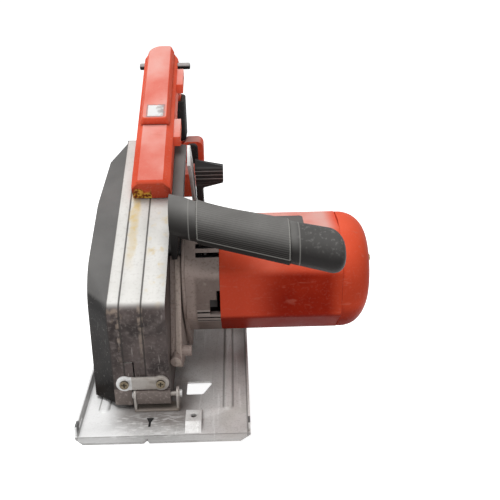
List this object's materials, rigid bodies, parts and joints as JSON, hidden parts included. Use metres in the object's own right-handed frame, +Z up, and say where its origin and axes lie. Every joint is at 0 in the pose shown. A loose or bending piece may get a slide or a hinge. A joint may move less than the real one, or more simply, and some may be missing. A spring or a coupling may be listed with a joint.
{
  "type": "metal cutting circular saw",
  "caption": "Hand held metal cutting circular saw at full depth: steel shoe, cast guard with a chip cover, side motor, forward front handle and a closed rear handle.",
  "frame": {"origin": "on the sole of the shoe, on its centre line, straight under the depth pivot", "axes": "+X towards the motor, +Y towards the rear handle, +Z up"},
  "size_m": [0.2502, 0.3565, 0.3224],
  "materials": {
    "zinc_steel": "bright zinc plated sheet",
    "tool_steel": "ground steel",
    "yellow_zinc": "yellow passivated",
    "cast_alloy": "as cast, polished by wear",
    "grey_alloy": "painted grey casting",
    "cover_plastic": "textured dark plastic",
    "red_plastic": "moulded red plastic",
    "black_plastic": "moulded black plastic",
    "black_rubber": "ribbed soft rubber",
    "copper": "varnished copper wire",
    "bronze": "plain bronze and brass",
    "core_steel": "stacked laminations",
    "carbon": "pressed carbon"
  },
  "bodies": {
    "shoe": {"shoe": "zinc_steel", "pivot_bracket": "zinc_steel", "pivot_pin": "zinc_steel", "quadrant": "zinc_steel", "quadrant_rivets": "yellow_zinc"},
    "lower_guard": {"lower_guard": "tool_steel"},
    "spindle": {"spindle": "tool_steel", "output_gear": "tool_steel", "inner_flange": "tool_steel", "blade": "tool_steel", "outer_flange": "tool_steel", "blade_bolt": "tool_steel"},
    "layshaft": {"layshaft": "tool_steel"},
    "armature": {"armature_shaft": "tool_steel", "armature_core": "core_steel", "commutator": "copper", "cooling_fan": "black_plastic"},
    "trigger": {"trigger": "black_plastic"},
    "lock_bar": {"lock_bar": "black_plastic"},
    "depth_lever": {"depth_lever": "black_plastic"},
    "spindle_lock": {"spindle_lock": "tool_steel"},
    "saw": {"guard_strap": "zinc_steel", "strap_screws": "yellow_zinc", "handle_screws": "yellow_zinc", "end_screws": "yellow_zinc", "depth_nut": "yellow_zinc", "depth_bolt": "yellow_zinc", "upper_guard": "cast_alloy", "chamber_frame": "cast_alloy", "chamber_rim": "cast_alloy", "gear_case": "grey_alloy", "gear_plate": "grey_alloy", "fan_housing": "grey_alloy", "motor_plate": "grey_alloy", "chip_cover": "cover_plastic", "guard_spring": "tool_steel", "spindle_bearings": "tool_steel", "armature_bearings": "tool_steel", "motor_housing": "red_plastic", "end_cap": "red_plastic", "handle_left": "red_plastic", "handle_right": "red_plastic", "handle_panel": "red_plastic", "front_handle": "black_plastic", "switch_box": "black_plastic", "front_grip": "black_rubber", "grip_sleeve": "black_rubber", "cord_gland": "black_rubber", "handle_buffer": "black_rubber", "field_coils": "copper", "layshaft_bearings": "bronze", "brush_holders": "bronze", "field_core": "core_steel", "brushes": "carbon"}
  },
  "joints": [
    {"name": "depth_swing", "type": "hinge", "parent": "shoe", "child": "saw", "pos_m": [0, 0, 0.016], "axis": [1, 0, 0], "range_deg": [0, 30]},
    {"name": "guard_swing", "type": "hinge", "parent": "saw", "child": "lower_guard", "pos_m": [0, 0.1, 0.029], "axis": [1, 0, 0], "range_deg": [0, 115], "stiffness_Nm_per_rad": 0.15, "springref_deg": -85.94},
    {"name": "armature_spin", "type": "hinge", "parent": "saw", "child": "armature", "pos_m": [0, 0.09631, 0.08175], "axis": [1, 0, 0], "continuous": true},
    {"name": "layshaft_spin", "type": "hinge", "parent": "saw", "child": "layshaft", "pos_m": [0, 0.09813, 0.05581], "axis": [1, 0, 0], "continuous": true},
    {"name": "spindle_spin", "type": "hinge", "parent": "saw", "child": "spindle", "pos_m": [0, 0.1, 0.029], "axis": [1, 0, 0], "continuous": true},
    {"name": "trigger_slide", "type": "slide", "parent": "saw", "child": "trigger", "axis": [0, 1, 0], "range_m": [0, 0.006], "stiffness_N_per_m": 600, "springref_m": -0.003},
    {"name": "lock_slide", "type": "slide", "parent": "saw", "child": "lock_bar", "axis": [-1, 0, 0], "range_m": [0, 0.005], "stiffness_N_per_m": 500, "springref_m": -0.003},
    {"name": "lever_turn", "type": "hinge", "parent": "saw", "child": "depth_lever", "pos_m": [0, 0.19856, 0.08437], "axis": [1, 0, 0], "range_deg": [-40, 0]},
    {"name": "spindle_lock_push", "type": "slide", "parent": "saw", "child": "spindle_lock", "axis": [0, 1, 0], "range_m": [0, 0.003], "stiffness_N_per_m": 800, "springref_m": -0.003}
  ],
  "couplings": [
    {"joint": "layshaft_spin", "follows": "armature_spin", "ratio": -0.26829},
    {"joint": "spindle_spin", "follows": "armature_spin", "ratio": 0.15899}
  ]
}
